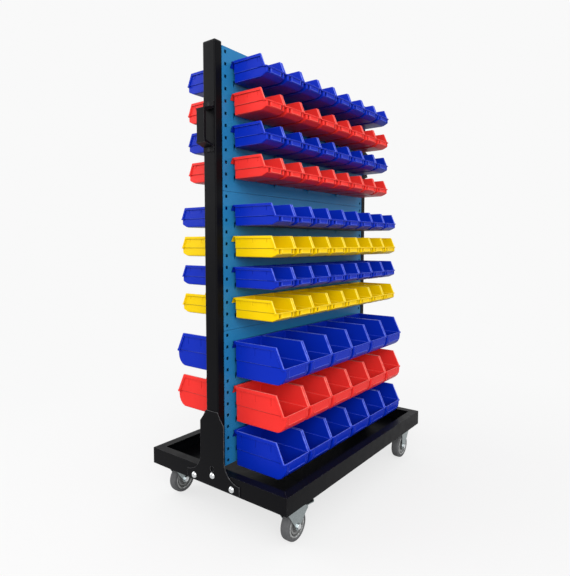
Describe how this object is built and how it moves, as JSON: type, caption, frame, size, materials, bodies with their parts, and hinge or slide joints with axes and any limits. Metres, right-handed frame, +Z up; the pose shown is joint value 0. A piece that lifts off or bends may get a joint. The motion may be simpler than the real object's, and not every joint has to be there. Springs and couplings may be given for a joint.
{
  "type": "hanging bin trolley",
  "caption": "Double-sided mobile rack of open-front plastic bins hung on louvred panels, with a tray base on swivel casters and a pull handle at each end.",
  "frame": {"origin": "on the floor, below the centre of the base", "axes": "+Z up; +X along the trolley, away from the braked casters; -Y to the front face"},
  "size_m": [1.046, 0.61, 1.555],
  "materials": {
    "black_paint": "semi-gloss powder coat",
    "black_plastic": "moulded satin",
    "black_steel": "black oxide",
    "panel_blue": "semi-gloss powder coat",
    "bin_blue": "moulded satin",
    "bin_red": "moulded satin",
    "bin_yellow": "moulded satin",
    "zinc": "bright zinc plate",
    "bright_steel": "polished plate",
    "rim_grey": "moulded satin",
    "tyre": "matte grey rubber"
  },
  "bodies": {
    "frame": {"tray_floor": "black_paint", "tray_rails": "black_paint", "upright_left": "black_paint", "upright_right": "black_paint", "upright_caps": "black_plastic", "foot_plate_left": "black_paint", "foot_plate_right": "black_paint", "handle_left": "black_paint", "handle_right": "black_paint", "panel_front_upper": "panel_blue", "panel_front_middle": "panel_blue", "panel_front_lower": "panel_blue", "panel_back_upper": "panel_blue", "panel_back_middle": "panel_blue", "panel_back_lower": "panel_blue", "foot_bolts": "bright_steel", "panel_screws": "zinc", "handle_screws": "black_steel", "caster_bolts": "zinc", "caster_plates": "zinc", "kingpins": "zinc"},
    "caster_front_left": {"fork_front_left": "zinc", "axle_front_left": "bright_steel"},
    "wheel_front_left": {"rim_front_left": "rim_grey", "tyre_front_left": "tyre"},
    "caster_front_right": {"fork_front_right": "zinc", "axle_front_right": "bright_steel"},
    "wheel_front_right": {"rim_front_right": "rim_grey", "tyre_front_right": "tyre"},
    "caster_back_left": {"fork_back_left": "zinc", "axle_back_left": "bright_steel"},
    "wheel_back_left": {"rim_back_left": "rim_grey", "tyre_back_left": "tyre"},
    "caster_back_right": {"fork_back_right": "zinc", "axle_back_right": "bright_steel"},
    "wheel_back_right": {"rim_back_right": "rim_grey", "tyre_back_right": "tyre"},
    "pedal_front_left": {"brake_pedal_front_left": "zinc"},
    "pedal_back_left": {"brake_pedal_back_left": "zinc"},
    "row_front_01": {"front_bins_01": "bin_blue"},
    "row_front_02": {"front_bins_02": "bin_red"},
    "row_front_03": {"front_bins_03": "bin_blue"},
    "row_front_04": {"front_bins_04": "bin_red"},
    "row_front_05": {"front_bins_05": "bin_blue"},
    "row_front_06": {"front_bins_06": "bin_yellow"},
    "row_front_07": {"front_bins_07": "bin_blue"},
    "row_front_08": {"front_bins_08": "bin_yellow"},
    "row_front_09": {"front_bins_09": "bin_blue"},
    "row_front_10": {"front_bins_10": "bin_red"},
    "row_front_11": {"front_bins_11": "bin_blue"},
    "row_back_01": {"back_bins_01": "bin_blue"},
    "row_back_02": {"back_bins_02": "bin_red"},
    "row_back_03": {"back_bins_03": "bin_blue"},
    "row_back_04": {"back_bins_04": "bin_red"},
    "row_back_05": {"back_bins_05": "bin_blue"},
    "row_back_06": {"back_bins_06": "bin_yellow"},
    "row_back_07": {"back_bins_07": "bin_blue"},
    "row_back_08": {"back_bins_08": "bin_yellow"},
    "row_back_09": {"back_bins_09": "bin_blue"},
    "row_back_10": {"back_bins_10": "bin_red"}
  },
  "joints": [
    {"name": "swivel_front_left", "type": "hinge", "parent": "frame", "child": "caster_front_left", "pos_m": [-0.421, -0.259, 0.109], "axis": [0, 0, 1], "continuous": true},
    {"name": "wheel_spin_front_left", "type": "hinge", "parent": "caster_front_left", "child": "wheel_front_left", "pos_m": [-0.391, -0.259, 0.05], "axis": [0, 1, 0], "continuous": true},
    {"name": "swivel_front_right", "type": "hinge", "parent": "frame", "child": "caster_front_right", "pos_m": [0.421, -0.259, 0.109], "axis": [0, 0, 1], "continuous": true},
    {"name": "wheel_spin_front_right", "type": "hinge", "parent": "caster_front_right", "child": "wheel_front_right", "pos_m": [0.391, -0.259, 0.05], "axis": [0, 1, 0], "continuous": true},
    {"name": "swivel_back_left", "type": "hinge", "parent": "frame", "child": "caster_back_left", "pos_m": [-0.421, 0.259, 0.109], "axis": [0, 0, 1], "continuous": true},
    {"name": "wheel_spin_back_left", "type": "hinge", "parent": "caster_back_left", "child": "wheel_back_left", "pos_m": [-0.391, 0.259, 0.05], "axis": [0, 1, 0], "continuous": true},
    {"name": "swivel_back_right", "type": "hinge", "parent": "frame", "child": "caster_back_right", "pos_m": [0.421, 0.259, 0.109], "axis": [0, 0, 1], "continuous": true},
    {"name": "wheel_spin_back_right", "type": "hinge", "parent": "caster_back_right", "child": "wheel_back_right", "pos_m": [0.391, 0.259, 0.05], "axis": [0, 1, 0], "continuous": true},
    {"name": "brake_front_left", "type": "hinge", "parent": "caster_front_left", "child": "pedal_front_left", "pos_m": [-0.34499, -0.259, 0.09201], "axis": [0, 1, 0], "range_deg": [0, 20]},
    {"name": "brake_back_left", "type": "hinge", "parent": "caster_back_left", "child": "pedal_back_left", "pos_m": [-0.34499, 0.259, 0.09201], "axis": [0, 1, 0], "range_deg": [0, 20]},
    {"name": "lift_front_01", "type": "slide", "parent": "frame", "child": "row_front_01", "axis": [0, -0.4226, 0.9063], "range_m": [0, 0.018]},
    {"name": "lift_front_02", "type": "slide", "parent": "frame", "child": "row_front_02", "axis": [0, -0.4226, 0.9063], "range_m": [0, 0.018]},
    {"name": "lift_front_03", "type": "slide", "parent": "frame", "child": "row_front_03", "axis": [0, -0.4226, 0.9063], "range_m": [0, 0.018]},
    {"name": "lift_front_04", "type": "slide", "parent": "frame", "child": "row_front_04", "axis": [0, -0.4226, 0.9063], "range_m": [0, 0.018]},
    {"name": "lift_front_05", "type": "slide", "parent": "frame", "child": "row_front_05", "axis": [0, -0.4226, 0.9063], "range_m": [0, 0.018]},
    {"name": "lift_front_06", "type": "slide", "parent": "frame", "child": "row_front_06", "axis": [0, -0.4226, 0.9063], "range_m": [0, 0.018]},
    {"name": "lift_front_07", "type": "slide", "parent": "frame", "child": "row_front_07", "axis": [0, -0.4226, 0.9063], "range_m": [0, 0.018]},
    {"name": "lift_front_08", "type": "slide", "parent": "frame", "child": "row_front_08", "axis": [0, -0.4226, 0.9063], "range_m": [0, 0.018]},
    {"name": "lift_front_09", "type": "slide", "parent": "frame", "child": "row_front_09", "axis": [0, -0.4226, 0.9063], "range_m": [0, 0.018]},
    {"name": "lift_front_10", "type": "slide", "parent": "frame", "child": "row_front_10", "axis": [0, -0.4226, 0.9063], "range_m": [0, 0.018]},
    {"name": "lift_front_11", "type": "slide", "parent": "frame", "child": "row_front_11", "axis": [0, -0.4226, 0.9063], "range_m": [0, 0.018]},
    {"name": "lift_back_01", "type": "slide", "parent": "frame", "child": "row_back_01", "axis": [0, 0.4226, 0.9063], "range_m": [0, 0.018]},
    {"name": "lift_back_02", "type": "slide", "parent": "frame", "child": "row_back_02", "axis": [0, 0.4226, 0.9063], "range_m": [0, 0.018]},
    {"name": "lift_back_03", "type": "slide", "parent": "frame", "child": "row_back_03", "axis": [0, 0.4226, 0.9063], "range_m": [0, 0.018]},
    {"name": "lift_back_04", "type": "slide", "parent": "frame", "child": "row_back_04", "axis": [0, 0.4226, 0.9063], "range_m": [0, 0.018]},
    {"name": "lift_back_05", "type": "slide", "parent": "frame", "child": "row_back_05", "axis": [0, 0.4226, 0.9063], "range_m": [0, 0.018]},
    {"name": "lift_back_06", "type": "slide", "parent": "frame", "child": "row_back_06", "axis": [0, 0.4226, 0.9063], "range_m": [0, 0.018]},
    {"name": "lift_back_07", "type": "slide", "parent": "frame", "child": "row_back_07", "axis": [0, 0.4226, 0.9063], "range_m": [0, 0.018]},
    {"name": "lift_back_08", "type": "slide", "parent": "frame", "child": "row_back_08", "axis": [0, 0.4226, 0.9063], "range_m": [0, 0.018]},
    {"name": "lift_back_09", "type": "slide", "parent": "frame", "child": "row_back_09", "axis": [0, 0.4226, 0.9063], "range_m": [0, 0.018]},
    {"name": "lift_back_10", "type": "slide", "parent": "frame", "child": "row_back_10", "axis": [0, 0.4226, 0.9063], "range_m": [0, 0.018]}
  ]
}
